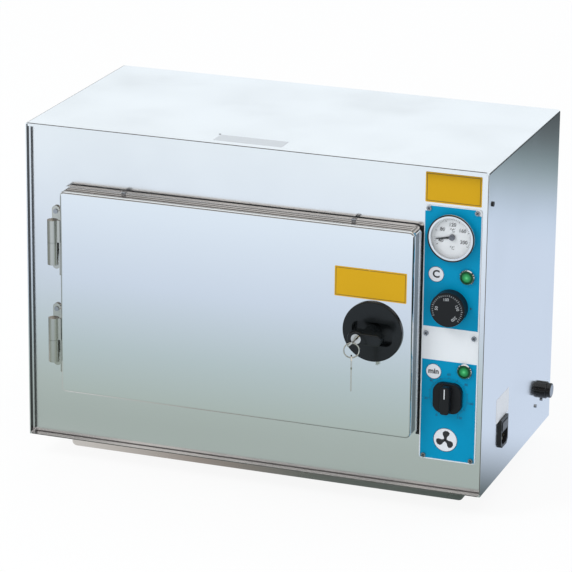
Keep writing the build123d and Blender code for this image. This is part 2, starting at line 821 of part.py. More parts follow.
# Latch handle: T grip with a boss for the lock, on a round stem
stem_end_y = recess_floor_y - seat
neck_end_y = recess_floor_y + cup_wall + seat
with BuildPart() as latch_handle:
    with BuildSketch(facing_front(grip_back_y)):
        with Locations((latch_x, latch_z)):
            RectangleRounded(grip_length, grip_height, grip_height / 2.5)
        with Locations((lock_x, latch_z)):
            Circle(lock_boss)
    extrude(amount=grip_depth)
    fillet(latch_handle.faces().sort_by(Axis.Y)[0].edges(), 1.5)
    with BuildSketch(facing_front(stem_end_y)):
        with Locations((latch_x, latch_z)):
            Circle(stem_radius)
    extrude(amount=stem_end_y - grip_back_y)
    with BuildSketch(facing_front(neck_end_y)):
        with Locations((latch_x, latch_z)):
            Circle(neck_radius)
    extrude(amount=neck_end_y - stem_end_y)
    with BuildSketch(facing_front(neck_end_y)):
        with Locations((latch_x, latch_z)):
            Rectangle(spindle_size, spindle_size)
    extrude(amount=neck_end_y - spindle_start_y, mode=Mode.SUBTRACT)
    with BuildSketch(facing_front(grip_face_y)):
        with Locations((lock_x, latch_z)):
            Circle(lock_radius + fit)
    extrude(amount=-(lock_length - 0.5 + seat), mode=Mode.SUBTRACT)
finish(latch_handle.part, "latch_handle")

# Latch spindle: square bar from the handle's stem to the cam
with BuildPart() as latch_spindle:
    with BuildSketch(facing_front(cam_back_y + 2)):
        with Locations((latch_x, latch_z)):
            Rectangle(spindle_size, spindle_size)
    extrude(amount=cam_back_y + 2 - spindle_start_y)
finish(latch_spindle.part, "latch_spindle")

# Latch cam: arm that points up while the door is free and turns behind the keeper's head
with BuildPart() as latch_cam:
    with BuildSketch(facing_front(cam_back_y)):
        with Locations((latch_x, latch_z)):
            Circle(stem_radius)
        with Locations((latch_x, latch_z + cam_radius / 2 - cam_width / 4)):
            Rectangle(cam_width, cam_radius - cam_width / 2)
        with Locations((latch_x, latch_z + cam_radius - cam_width / 2)):
            Circle(cam_width / 2)
    extrude(amount=cam_thickness)
    with BuildSketch(facing_front(cam_back_y)):
        with Locations((latch_x, latch_z)):
            Rectangle(spindle_size, spindle_size)
    extrude(amount=cam_thickness, mode=Mode.SUBTRACT)
finish(latch_cam.part, "latch_cam")

# Latch keeper: bent hook on the front panel
with BuildPart() as latch_keeper:
    keeper_z = (latch_z - keeper_height / 2, latch_z + keeper_height / 2)
    keeper_right = keeper_left + keeper_width
    block((keeper_left, keeper_right), (panel_y - keeper_sheet, panel_y), keeper_z)
    block((keeper_right - keeper_sheet, keeper_right), (keeper_front_y, panel_y), keeper_z)
    block((keeper_left, keeper_right), (keeper_front_y, keeper_front_y + keeper_sheet), keeper_z)
finish(latch_keeper.part, "latch_keeper")

# Lock cylinder with its keyway on the slant, as the key stands in the photo
keyway = Plane(origin=(lock_x, lock_face_y, latch_z), x_dir=(1, 0, 1), z_dir=(1, 0, -1))
with BuildPart() as lock_cylinder:
    with BuildSketch(facing_front(lock_face_y)):
        with Locations((lock_x, latch_z)):
            Circle(lock_radius)
    extrude(amount=-lock_length)
    with BuildSketch(keyway):
        with Locations((0, -lock_length / 2)):
            Rectangle(key_shank, lock_length)
    extrude(amount=key_thickness / 2, both=True, mode=Mode.SUBTRACT)
finish(lock_cylinder.part, "lock_cylinder")


def key_outline(tip):
    """Key in the sketch being built: bow above the collar at the origin, blade down to -tip."""
    with Locations((0, key_collar + key_bow_length / 2)):
        bow = Rectangle(key_bow, key_bow_length)
        chamfer(bow.vertices(), key_bow / 3.5)
    with Locations((0, (key_collar + 1 - tip) / 2)):
        Rectangle(key_shank, key_collar + 1 + tip)
    with Locations((0, key_collar + key_bow_length / 2 + key_hole_offset)):
        Circle(key_hole_radius, mode=Mode.SUBTRACT)


with BuildPart() as inserted_key:
    with BuildSketch(keyway):
        key_outline(lock_length)
    extrude(amount=key_thickness / 2, both=True)
finish(inserted_key.part, "inserted_key")

# Key ring: hangs from the inserted key's hole, turned a little towards the viewer's left
ring_along = (cos(radians(ring_turn)), sin(radians(ring_turn)), 0)
ring_across = (-sin(radians(ring_turn)), cos(radians(ring_turn)), 0)
with BuildPart() as key_ring:
    with Locations(Plane(origin=(lock_x, key_hole_y, ring_z), x_dir=ring_along, z_dir=ring_across)):
        Torus(ring_radius, ring_wire)
finish(key_ring.part, "key_ring")

# Spare key: hangs from the bottom of the ring, with its cuts along one edge
spare_hole_z = ring_z - ring_radius - key_hole_radius + ring_wire + seat
spare_origin_z = spare_hole_z - key_collar - key_bow_length / 2 - key_hole_offset
spare_plane = Plane(origin=(lock_x, key_hole_y, spare_origin_z), x_dir=ring_across, z_dir=ring_along)
cut_pitch = 4
with BuildPart() as spare_key:
    with BuildSketch(spare_plane):
        key_outline(spare_blade)
        with Locations((key_shank / 2, -spare_blade / 2)):
            with GridLocations(1, cut_pitch, 1, 4):
                Rectangle(1.7, 1.7, rotation=45, mode=Mode.SUBTRACT)
    extrude(amount=key_thickness / 2, both=True)
finish(spare_key.part, "spare_key")

# Control plate with its six screws
with BuildPart() as control_plate:
    with BuildSketch(facing_front(panel_y)):
        with Locations((plate_x, plate_z)):
            RectangleRounded(plate_width, plate_height, plate_corner)
        control_holes()
    extrude(amount=plate_thickness)
finish(control_plate.part, "control_plate")

with BuildPart() as plate_screw_set:
    with BuildSketch(facing_front(plate_y)):
        with Locations(plate_screws):
            Circle(screw_head_radius)
    extrude(amount=screw_head_height)
    with BuildSketch(facing_front(plate_y)):
        with Locations(plate_screws):
            Circle(screw_radius)
    extrude(amount=-screw_length)
finish(plate_screw_set.part, "control_plate_screws")

# Thermometer: drum with a front rim, dial on a shoulder, glass behind the rim's lip
drum_radius = thermometer_case_radius
bezel_y = plate_y - thermometer_reach
bezel_lip = 1
dial_radius = drum_radius - fit
dial_sheet = 0.8
dial_back_y = plate_y - dial_sheet
glass_thickness = 1.5
glass_front_y = bezel_y + bezel_lip
with BuildPart() as thermometer_drum:
    with BuildSketch(facing_front(plate_y)):
        with Locations((plate_x, thermometer_z)):
            Circle(thermometer_diameter / 2)
    extrude(amount=thermometer_reach)
    fillet(thermometer_drum.faces().sort_by(Axis.Y)[0].edges(), 1.5)
    with BuildSketch(facing_front(plate_y)):
        with Locations((plate_x, thermometer_z)):
            Circle(drum_radius)
    extrude(amount=-thermometer_body)
    with BuildSketch(facing_front(glass_front_y)):
        with Locations((plate_x, thermometer_z)):
            Circle(drum_radius - 1)
    extrude(amount=bezel_lip, mode=Mode.SUBTRACT)
    with BuildSketch(facing_front(dial_back_y)):
        with Locations((plate_x, thermometer_z)):
            Circle(drum_radius)
    extrude(amount=dial_back_y - glass_front_y, mode=Mode.SUBTRACT)
    with BuildSketch(facing_front(plate_y + thermometer_body - 2)):
        with Locations((plate_x, thermometer_z)):
            Circle(drum_radius - 2)
    extrude(amount=thermometer_body + thermometer_reach, mode=Mode.SUBTRACT)
finish(thermometer_drum.part, "thermometer_drum")

with BuildPart() as thermometer_dial:
    with BuildSketch(facing_front(dial_back_y)):
        with Locations((plate_x, thermometer_z)):
            Circle(dial_radius)
            Circle(needle_shaft + pin_fit, mode=Mode.SUBTRACT)
    extrude(amount=dial_sheet)
finish(thermometer_dial.part, "thermometer_dial")

with BuildPart() as thermometer_glass:
    with BuildSketch(facing_front(glass_front_y + glass_thickness)):
        with Locations((plate_x, thermometer_z)):
            Circle(dial_radius)
    extrude(amount=glass_thickness)
finish(thermometer_glass.part, "thermometer_glass")

# Thermometer needle: tapered hand with a hub, on a short shaft through the dial
needle_y = dial_back_y - dial_sheet - seat
needle_aim = (cos(radians(needle_rest)), 0, sin(radians(needle_rest)))
with BuildPart() as thermometer_needle:
    with BuildSketch(Plane(origin=(plate_x, needle_y, thermometer_z), x_dir=needle_aim, z_dir=(0, -1, 0))):
        with BuildLine():
            Polyline(
                (0, -needle_width / 2),
                (needle_length, -needle_width / 6),
                (needle_length, needle_width / 6),
                (0, needle_width / 2),
                close=True,
            )
        make_face()
        Circle(needle_hub)
    extrude(amount=1)
    with BuildSketch(facing_front(needle_y)):
        with Locations((plate_x, thermometer_z)):
            Circle(needle_shaft)
    extrude(amount=-needle_shaft_length)
finish(thermometer_needle.part, "thermometer_needle")

# Indicator lamps: bezel in front of the plate, holder behind it, domed lens in the bezel
lens_floor_y = plate_y - 1.5
for name, z in zip(("lower", "upper"), lamp_zs):
    with BuildPart() as lamp_bezel:
        with BuildSketch(facing_front(plate_y)):
            with Locations((lamp_x, z)):
                Circle(lamp_diameter / 2)
        extrude(amount=lamp_reach)
        chamfer(lamp_bezel.faces().sort_by(Axis.Y)[0].edges(), 1)
        with BuildSketch(facing_front(plate_y)):
            with Locations((lamp_x, z)):
                Circle(lamp_body_radius)
        extrude(amount=-thermometer_body)
        with BuildSketch(facing_front(lens_floor_y)):
            with Locations((lamp_x, z)):
                Circle(lens_diameter / 2)
        extrude(amount=lamp_reach, mode=Mode.SUBTRACT)
    finish(lamp_bezel.part, f"{name}_lamp_bezel")

    with BuildPart() as lamp_lens:
        with BuildSketch(facing_front(lens_floor_y)):
            with Locations((lamp_x, z)):
                Circle(lens_diameter / 2)
        extrude(amount=lens_reach)
        fillet(lamp_lens.faces().sort_by(Axis.Y)[0].edges(), lens_reach - 1)
    finish(lamp_lens.part, f"{name}_lamp_lens")

# Thermostat and timer: bodies behind the panel, each with a neck through it and a bore for the spindle
knob_back_y = plate_y - 0.5
neck_y = plate_y - 1.5
spindle_end_y = panel_back_y + 20


def switch_body(z, outline):
    """Body behind the panel at height z: outline is its width and depth, square if flat-sided."""
    width, depth, round_body = outline
    with BuildPart() as switch:
        with BuildSketch(facing_front(panel_back_y)):
            with Locations((plate_x, z)):
                if round_body:
                    Circle(width / 2)
                else:
                    RectangleRounded(width, width, 4)
        extrude(amount=-depth)
        with BuildSketch(facing_front(panel_back_y)):
            with Locations((plate_x, z)):
                Circle(thermostat_neck)
        extrude(amount=panel_back_y - neck_y)
        with BuildSketch(facing_front(neck_y)):
            with Locations((plate_x, z)):
                Circle(spindle_radius + pin_fit)
        extrude(amount=-(spindle_end_y + seat - neck_y), mode=Mode.SUBTRACT)
    return switch.part


finish(switch_body(thermostat_z, thermostat_body), "thermostat_body")
finish(switch_body(timer_z, timer_body), "timer_body")


# Thermostat knob: flat-faced disc with a soft edge, hollow over the neck
with BuildPart() as thermostat_knob:
    with BuildSketch(facing_front(knob_back_y)):
        with Locations((plate_x, thermostat_z)):
            Circle(thermostat_knob_diameter / 2)
    extrude(amount=thermostat_knob_height)
    fillet(thermostat_knob.faces().sort_by(Axis.Y)[0].edges(), 2)
    with BuildSketch(facing_front(knob_back_y)):
        with Locations((plate_x, thermostat_z)):
            Circle(thermostat_neck + 1.5)
    extrude(amount=knob_hollow, mode=Mode.SUBTRACT)
    with BuildSketch(facing_front(knob_back_y - knob_hollow)):
        with Locations((plate_x, thermostat_z)):
            Circle(spindle_radius)
    extrude(amount=-(spindle_end_y - knob_back_y + knob_hollow))
finish(thermostat_knob.part, "thermostat_knob")

# Timer knob: rounded square base with a raised finger bar, hollow over the neck
with BuildPart() as timer_knob:
    with BuildSketch(facing_front(knob_back_y)):
        with Locations((plate_x, timer_z)):
            RectangleRounded(timer_knob_width, timer_knob_height, timer_knob_corner)
    extrude(amount=timer_knob_base)
    fillet(timer_knob.faces().sort_by(Axis.Y)[0].edges(), 1.5)
    with BuildSketch(facing_front(knob_back_y - timer_knob_base)):
        with Locations((plate_x, timer_z)):
            RectangleRounded(timer_bar_width, timer_knob_height - 3, timer_bar_width / 3)
    extrude(amount=timer_knob_depth - timer_knob_base)
    fillet(timer_knob.faces().sort_by(Axis.Y)[0].edges(), 1.5)
    with BuildSketch(facing_front(knob_back_y)):
        with Locations((plate_x, timer_z)):
            Circle(thermostat_neck + 1.5)
    extrude(amount=knob_hollow, mode=Mode.SUBTRACT)
    with BuildSketch(facing_front(knob_back_y - knob_hollow)):
        with Locations((plate_x, timer_z)):
            Circle(spindle_radius)
    extrude(amount=-(spindle_end_y - knob_back_y + knob_hollow))
finish(timer_knob.part, "timer_knob")

# Power inlet: flanged body with a keyed recess and three pins, drawer cover above it
inlet_face_x = half_width + inlet_reach
socket_z = side_inlet_z - socket_drop
with BuildPart() as power_inlet:
    with BuildSketch(facing_right(half_width)) as inlet_flange:
        with Locations((side_inlet_y, side_inlet_z)):
            Rectangle(inlet_width, inlet_height)
        chamfer(inlet_flange.vertices().group_by(Axis.Y)[0], inlet_chamfer)
    extrude(amount=inlet_reach)
    with BuildSketch(facing_right(half_width)):
        with Locations((side_inlet_y, side_inlet_z)):
            Rectangle(inlet_body_width, inlet_body_height)
    extrude(amount=-inlet_depth)
    with BuildSketch(facing_right(inlet_face_x)) as socket_mouth:
        with Locations((side_inlet_y, socket_z)):
            Rectangle(socket_width, socket_height)
        chamfer(socket_mouth.vertices().group_by(Axis.Y)[0], inlet_chamfer)
    extrude(amount=-socket_depth, mode=Mode.SUBTRACT)
    with BuildSketch(facing_right(inlet_face_x)):
        with Locations((side_inlet_y, side_inlet_z + drawer_rise)):
            RectangleRounded(socket_width - 2, drawer_height, 1)
    extrude(amount=0.6)
finish(power_inlet.part, "power_inlet")

with BuildPart() as inlet_pins:
    with BuildSketch(facing_right(inlet_face_x - socket_depth)):
        with Locations((side_inlet_y - pin_spacing, socket_z), (side_inlet_y + pin_spacing, socket_z)):
            Rectangle(*pin_section)
        with Locations((side_inlet_y, socket_z - 3)):
            Rectangle(*pin_section)
    extrude(amount=pin_length)
finish(inlet_pins.part, "inlet_pins")

# Fuse holder with a screw-in cap that carries the fuse
fuse_ring_x = half_width + fuse_ring_reach
with BuildPart() as fuse_holder:
    with BuildSketch(facing_right(half_width)):
        with Locations((fuse_y, fuse_z)):
            Circle(fuse_ring_diameter / 2)
    extrude(amount=fuse_ring_reach)
    chamfer(fuse_holder.faces().sort_by(Axis.X)[-1].edges(), 1)
    with BuildSketch(facing_right(half_width)):
        with Locations((fuse_y, fuse_z)):
            Circle(fuse_body_radius)
    extrude(amount=-fuse_body_length)
    with BuildSketch(facing_right(fuse_ring_x)):
        with Locations((fuse_y, fuse_z)):
            Circle(fuse_stem_radius + fit)
    extrude(amount=-(fuse_ring_reach + fuse_body_length - 3), mode=Mode.SUBTRACT)
finish(fuse_holder.part, "fuse_holder")

cap_back_x = fuse_ring_x + seat
with BuildPart() as fuse_cap:
    with BuildSketch(facing_right(cap_back_x)):
        with Locations((fuse_y, fuse_z)):
            Circle(fuse_cap_diameter / 2)
    extrude(amount=fuse_cap_reach)
    fillet(fuse_cap.faces().sort_by(Axis.X)[-1].edges(), 1)
    with BuildSketch(facing_right(cap_back_x + fuse_cap_reach)):
        with Locations((fuse_y, fuse_z)):
            Rectangle(12, 1.6)
    extrude(amount=-1.5, mode=Mode.SUBTRACT)
    with BuildSketch(facing_right(cap_back_x)):
        with Locations((fuse_y, fuse_z)):
            Circle(fuse_stem_radius)
    extrude(amount=-fuse_stem_length)
finish(fuse_cap.part, "fuse_cap")

with BuildPart() as fuse:
    with BuildSketch(facing_right(cap_back_x - fuse_stem_length)):
        with Locations((fuse_y, fuse_z)):
            Circle(fuse_radius)
    extrude(amount=-fuse_length)
finish(fuse.part, "fuse")

# Safety thermostat inside the right wall: slim flange with a round body, held by two screws
with BuildPart() as safety_thermostat:
    with BuildSketch(facing_right(inner_half)):
        with Locations((cutout_y, cutout_z)):
            SlotOverall(cutout_spacing + 2 * cutout_flange, 2 * cutout_flange)
        with Locations(cutout_screws):
            Circle(screw_radius + fit, mode=Mode.SUBTRACT)
    extrude(amount=-sheet)
    with BuildSketch(facing_right(inner_half)):
        with Locations((cutout_y, cutout_z)):
            Circle(cutout_body_radius)
    extrude(amount=-cutout_body_depth)
finish(safety_thermostat.part, "safety_thermostat")

with BuildPart() as safety_thermostat_screws:
    with BuildSketch(facing_right(half_width)):
        with Locations(cutout_screws):
            Circle(cutout_screw_head)
    extrude(amount=screw_head_height)
    with BuildSketch(facing_right(half_width)):
        with Locations(cutout_screws):
            Circle(screw_radius)
    extrude(amount=-screw_length)
finish(safety_thermostat_screws.part, "safety_thermostat_screws")
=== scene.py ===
import math

import bmesh
import bpy
from mathutils import Matrix, Vector


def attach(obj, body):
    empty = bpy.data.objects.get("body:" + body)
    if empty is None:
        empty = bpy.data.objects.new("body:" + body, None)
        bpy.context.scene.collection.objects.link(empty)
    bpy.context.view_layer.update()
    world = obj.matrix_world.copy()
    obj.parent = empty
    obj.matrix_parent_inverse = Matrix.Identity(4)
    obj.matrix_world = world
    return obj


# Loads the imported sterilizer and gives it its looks. Metres, +X right, +Y to the rear, +Z up.

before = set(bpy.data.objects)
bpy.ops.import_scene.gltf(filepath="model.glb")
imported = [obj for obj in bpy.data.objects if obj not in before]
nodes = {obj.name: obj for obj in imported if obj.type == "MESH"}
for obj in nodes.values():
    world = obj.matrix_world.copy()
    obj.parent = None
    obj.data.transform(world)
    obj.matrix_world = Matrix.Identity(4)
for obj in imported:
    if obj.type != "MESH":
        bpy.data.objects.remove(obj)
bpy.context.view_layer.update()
scene = bpy.context.scene

# Surfaces that carry printed pieces
PLATE_Y = -0.0530
PANEL_Y = -0.0520
RIM_Y = -0.0620
RIM_INSIDE_X = -0.2888
DOOR_Y = -0.0750
DOOR_TOP = 0.3490
DOOR_RIGHT = 0.2060
CASING_RIGHT = 0.2900
CASING_TOP = 0.4260
SCREW_HEAD_Y = -0.0546
DIAL_FACE_Y = -0.0546
HUB_Y = -0.0567
LAMP_RIM_Y = -0.0570
THERMOMETER_RIM_Y = -0.0610
THERMOSTAT_FACE_Y = -0.0685
TIMER_FACE_Y = -0.0705
DRAWER_X = 0.2941
FUSE_CAP_X = 0.3033

# Thickness of printed pieces: most of them, the finer ones, and those at the ends of the overall box
FILM = 0.0002
THIN = 0.0001
LEAST = 0.00005

# Places on the control plate: its middle line, the heights of its fittings, and the lamps' own line
PLATE_X = 0.2456
THERMOMETER_V = 0.3418
THERMOSTAT_V = 0.2570
TIMER_V = 0.1450
LAMP_U = 0.2648
LAMP_V = {"lower": 0.1797, "upper": 0.2953}


# Materials


def principled(name, color, metallic=0.0, rough=0.5, **inputs):
    """Material with one Principled shader; extra inputs by their socket names, underscores for spaces."""
    mat = bpy.data.materials.new(name)
    mat.use_nodes = True
    shader = mat.node_tree.nodes["Principled BSDF"]
    shader.inputs["Base Color"].default_value = (*color, 1)
    shader.inputs["Metallic"].default_value = metallic
    shader.inputs["Roughness"].default_value = rough
    for key, value in inputs.items():
        shader.inputs[key.replace("_", " ")].default_value = value
    return mat


def add_node(mat, kind, **settings):
    """Node in a material or world, with its settings by name."""
    node = mat.node_tree.nodes.new(kind)
    for key, value in settings.items():
        setattr(node, key, value)
    return node


def join(mat, out, into):
    """Link from an output to an input."""
    mat.node_tree.links.new(out, into)


def ramp(mat, stops):
    """Straight colour ramp from (position, colour) stops."""
    node = add_node(mat, "ShaderNodeValToRGB")
    elements = node.color_ramp.elements
    while len(elements) < len(stops):
        elements.new(0.5)
    for element, (place, color) in zip(elements, stops):
        element.position = place
        element.color = (*color, 1)
    return node


def span(mat, value, zero_at, one_at, kind="SMOOTHSTEP"):
    """Factor that is 0 at the first place and 1 at the second, whichever of the two is the larger."""
    node = add_node(mat, "ShaderNodeMapRange", interpolation_type=kind)
    node.inputs["From Min"].default_value = min(zero_at, one_at)
    node.inputs["From Max"].default_value = max(zero_at, one_at)
    if zero_at > one_at:
        node.inputs["To Min"].default_value = 1
        node.inputs["To Max"].default_value = 0
    join(mat, value, node.inputs["Value"])
    return node.outputs["Result"]


def times(mat, first, second):
    """Product of two factors, the second a socket or a number."""
    node = add_node(mat, "ShaderNodeMath", operation="MULTIPLY")
    join(mat, first, node.inputs[0])
    if isinstance(second, float):
        node.inputs[1].default_value = second
    else:
        join(mat, second, node.inputs[1])
    return node.outputs[0]


def blend(mat, first, second, factor):
    """Colour that goes from the first to the second with the factor."""
    node = add_node(mat, "ShaderNodeMix", data_type="RGBA")
    join(mat, factor, node.inputs["Factor"])
    join(mat, first, node.inputs["A"])
    join(mat, second, node.inputs["B"])
    return node.outputs["Result"]


def plain_color(mat, color):
    """One colour as an output."""
    node = add_node(mat, "ShaderNodeRGB")
    node.outputs[0].default_value = (*color, 1)
    return node.outputs[0]


def noise(mat, place, scale, detail):
    """Noise over the object's own coordinates."""
    node = add_node(mat, "ShaderNodeTexNoise")
    node.inputs["Scale"].default_value = scale
    node.inputs["Detail"].default_value = detail
    join(mat, place.outputs["Object"], node.inputs["Vector"])
    return node.outputs["Fac"]


def relief(mat, shader, height, strength, distance):
    """Bump on a shader, from a height."""
    node = add_node(mat, "ShaderNodeBump")
    node.inputs["Strength"].default_value = strength
    node.inputs["Distance"].default_value = distance
    join(mat, height, node.inputs["Height"])
    join(mat, node.outputs["Normal"], shader.inputs["Normal"])


def rolled(name, color, rough, wave=0.02):
    """Polished sheet: faint cloudy roughness and a very slight ripple, as rolled stainless steel has."""
    grain = 0.35
    cloud_scale, cloud_detail = 9, 3
    ripple_scale, ripple_detail, ripple_height = 2.2, 0, 0.02
    mat = principled(name, color, metallic=1.0, rough=rough)
    shader = mat.node_tree.nodes["Principled BSDF"]
    place = add_node(mat, "ShaderNodeTexCoord")
    spread = add_node(mat, "ShaderNodeMapRange")
    spread.inputs["From Min"].default_value = 0.3
    spread.inputs["From Max"].default_value = 0.7
    spread.inputs["To Min"].default_value = rough * (1 - grain)
    spread.inputs["To Max"].default_value = rough * (1 + grain)
    join(mat, noise(mat, place, cloud_scale, cloud_detail), spread.inputs["Value"])
    join(mat, spread.outputs["Result"], shader.inputs["Roughness"])
    relief(mat, shader, noise(mat, place, ripple_scale, ripple_detail), wave, ripple_height)
    return mat


CABINET = rolled("cabinet_steel", (0.90, 0.91, 0.92), 0.16)
DOOR = rolled("door_steel", (0.88, 0.90, 0.91), 0.07, wave=0.05)
INNER = rolled("inner_steel", (0.62, 0.63, 0.64), 0.32)
FOOT = rolled("foot_steel", (0.80, 0.79, 0.77), 0.28)
NICKEL = principled("hinge_nickel", (0.58, 0.57, 0.52), metallic=1.0, rough=0.2)
SCREW = principled("screw_metal", (0.42, 0.43, 0.45), metallic=1.0, rough=0.25)
PLATE_SCREW = principled("plate_screw", (0.34, 0.35, 0.37), metallic=1.0, rough=0.2)
BLACK_SCREW = principled("black_screw", (0.012, 0.012, 0.013), rough=0.4)
PLATE_WHITE = principled("plate_white", (0.80, 0.83, 0.86), rough=0.35)
BLUE = principled("plate_blue", (0.0, 0.285, 0.51), rough=0.4, Specular_IOR_Level=0.08)
CHROME = principled("bezel_chrome", (0.82, 0.82, 0.82), metallic=1.0, rough=0.08)
DIAL = principled("dial_white", (0.92, 0.94, 0.96), rough=0.5)
INK = principled("ink", (0.025, 0.026, 0.03), rough=0.5)
SCALE_INK = principled("scale_ink", (0.004, 0.035, 0.09), rough=0.5)
WHITE_INK = principled("white_ink", (0.50, 0.52, 0.54), rough=0.5)
LABEL_WHITE = principled("label_white", (0.78, 0.80, 0.84), rough=0.45)
LABEL_YELLOW = principled("label_yellow", (0.64, 0.365, 0.012), rough=0.45, Specular_IOR_Level=0.08)
LABEL_BROWN = principled("label_brown", (0.16, 0.09, 0.015), rough=0.5)
LABEL_GREY = principled("label_grey", (0.62, 0.65, 0.68), rough=0.4)
HUB = principled("needle_hub", (0.14, 0.15, 0.18), rough=0.4)
NEEDLE = principled("needle_black", (0.02, 0.02, 0.022), rough=0.4)
KNOB = principled("knob_black", (0.010, 0.011, 0.013), rough=0.4, Specular_IOR_Level=0.25)
HANDLE = principled("handle_black", (0.009, 0.011, 0.012), rough=0.18, Specular_IOR_Level=0.3)
SWITCH = principled("switch_grey", (0.30, 0.30, 0.29), rough=0.5)
INLET = principled("inlet_black", (0.016, 0.016, 0.018), rough=0.38)
DRAWER = principled("inlet_drawer", (0.10, 0.105, 0.115), rough=0.4)
BRASS = principled("inlet_brass", (0.70, 0.62, 0.42), metallic=1.0, rough=0.25)
CAP = principled("cap_black", (0.010, 0.010, 0.011), rough=0.2)
LAMP_EDGE = principled("lamp_edge", (0.0, 0.055, 0.015), rough=0.25)
# Painted shade and reflection, laid as dark lines along edges and seams
EDGE_SHADE_AND_REFLECTION = principled("painted_edge_shade_and_reflection", (0.085, 0.075, 0.07), metallic=0.3, rough=0.35)
# Painted shade on the door's right side face
SIDE_SHADE = principled("painted_side_shade", (0.13, 0.165, 0.19), metallic=0.5, rough=0.3)
# Painted shade and reflection: the dark line round the thermometer's rim and the dark inner face of the
# casing's left rim
RIM_SHADE_AND_REFLECTION = principled("painted_rim_shade_and_reflection", (0.010, 0.011, 0.011), rough=0.3, Specular_IOR_Level=0.3)
CAP_END = principled("cap_end", (0.42, 0.43, 0.45), metallic=1.0, rough=0.3)
# Black rubber of the gasket, also used for the painted shade in the gap beside the door
GASKET_AND_GAP_SHADE = principled("gasket_black", (0.012, 0.013, 0.014), rough=0.55)
MOTOR = principled("motor_metal", (0.12, 0.12, 0.13), metallic=0.6, rough=0.5)
FAN = principled("fan_metal", (0.70, 0.71, 0.72), metallic=1.0, rough=0.35)
HEATER = principled("heater_metal", (0.20, 0.18, 0.16), metallic=0.9, rough=0.45)
KEY = principled("key_metal", (0.66, 0.64, 0.58), metallic=1.0, rough=0.22)
LOCK = principled("lock_metal", (0.74, 0.72, 0.68), metallic=1.0, rough=0.2)
CAM = principled("cam_steel", (0.52, 0.52, 0.50), metallic=1.0, rough=0.34)
GLASS = principled("clear_glass", (1, 1, 1), rough=0.02, Transmission_Weight=1.0, IOR=1.45, Alpha=0.2)


def wool_material():
    """Mineral wool: matted fibres in two yellowish tones."""
    fibre_scale, fibre_detail = 160, 6
    relief_strength, relief_height = 0.5, 0.002
    mat = principled("wool", (0.62, 0.55, 0.36), rough=0.95)
    shader = mat.node_tree.nodes["Principled BSDF"]
    place = add_node(mat, "ShaderNodeTexCoord")
    fibre = noise(mat, place, fibre_scale, fibre_detail)
    tones = ramp(mat, [(0.35, (0.46, 0.40, 0.25)), (0.65, (0.68, 0.62, 0.44))])
    join(mat, fibre, tones.inputs["Fac"])
    join(mat, tones.outputs["Color"], shader.inputs["Base Color"])
    relief(mat, shader, fibre, relief_strength, relief_height)
    return mat


def lamp_material():
    """Translucent green plastic with a painted highlight: lighter in the middle, darker towards the rim."""
    mat = principled("lamp_green", (0.0, 0.21, 0.055), rough=0.12)
    shader = mat.node_tree.nodes["Principled BSDF"]
    place = add_node(mat, "ShaderNodeTexCoord")
    centre = add_node(mat, "ShaderNodeVectorMath", operation="MULTIPLY_ADD")
    centre.inputs[1].default_value = (2, 0, 2)
    centre.inputs[2].default_value = (-1, 0, -1)
    away = add_node(mat, "ShaderNodeVectorMath", operation="LENGTH")
    join(mat, place.outputs["Generated"], centre.inputs[0])
    join(mat, centre.outputs["Vector"], away.inputs[0])
    # Painted highlight: bright in the middle of the lens, fading to dark green at its rim
    tones = ramp(mat, [
        (0.0, (0.12, 0.62, 0.24)), (0.35, (0.015, 0.34, 0.085)),
        (0.75, (0.0, 0.15, 0.035)), (1.0, (0.0, 0.06, 0.018)),
    ])
    join(mat, away.outputs["Value"], tones.inputs["Fac"])
    join(mat, tones.outputs["Color"], shader.inputs["Base Color"])
    return mat


WOOL = wool_material()
LAMP = lamp_material()

FINISHES = {
    "casing_wrap": CABINET, "bottom_pan": CABINET, "rear_panel": CABINET, "front_panel": CABINET,
    "front_foot_rail": FOOT, "rear_foot_rail": FOOT, "chamber_liner": INNER, "insulation": WOOL,
    "air_baffle": INNER, "left_tray_rack": INNER, "right_tray_rack": INNER, "heater": HEATER,
    "fan_motor": MOTOR, "motor_bracket": INNER, "control_plate": PLATE_WHITE,
    "control_plate_screws": PLATE_SCREW, "thermometer_drum": CHROME, "thermometer_dial": DIAL,
    "thermometer_glass": GLASS, "upper_lamp_bezel": CHROME, "lower_lamp_bezel": CHROME,
    "upper_lamp_lens": LAMP, "lower_lamp_lens": LAMP, "thermostat_body": SWITCH, "timer_body": SWITCH,
    "power_inlet": INLET, "inlet_pins": BRASS, "fuse_holder": CAP, "safety_thermostat": SWITCH,
    "safety_thermostat_screws": SCREW, "latch_keeper": CAM, "upper_hinge_frame_leaf": NICKEL,
    "lower_hinge_frame_leaf": NICKEL, "hinge_pins": NICKEL, "hinge_screws": SCREW,
    "casing_screws": BLACK_SCREW, "door_shell": DOOR, "door_pan": CABINET, "door_insulation": WOOL,
    "door_gasket": GASKET_AND_GAP_SHADE, "latch_rosette": HANDLE, "upper_hinge_door_leaf": NICKEL,
    "lower_hinge_door_leaf": NICKEL, "door_clips": SCREW, "latch_handle": HANDLE,
    "latch_spindle": CAM, "latch_cam": CAM, "lock_cylinder": LOCK, "inserted_key": KEY,
    "key_ring": KEY, "spare_key": KEY, "thermometer_needle": NEEDLE, "thermostat_knob": KNOB,
    "timer_knob": KNOB, "fan_impeller": FAN, "fan_shaft": CAM, "upper_tray": INNER,
    "lower_tray": INNER, "fuse_cap": CAP, "fuse": GLASS,
}

for name, finish in FINISHES.items():
    mesh = nodes[name].data
    mesh.materials.clear()
    mesh.materials.append(finish)


# Small pieces: printed films, discs and figures


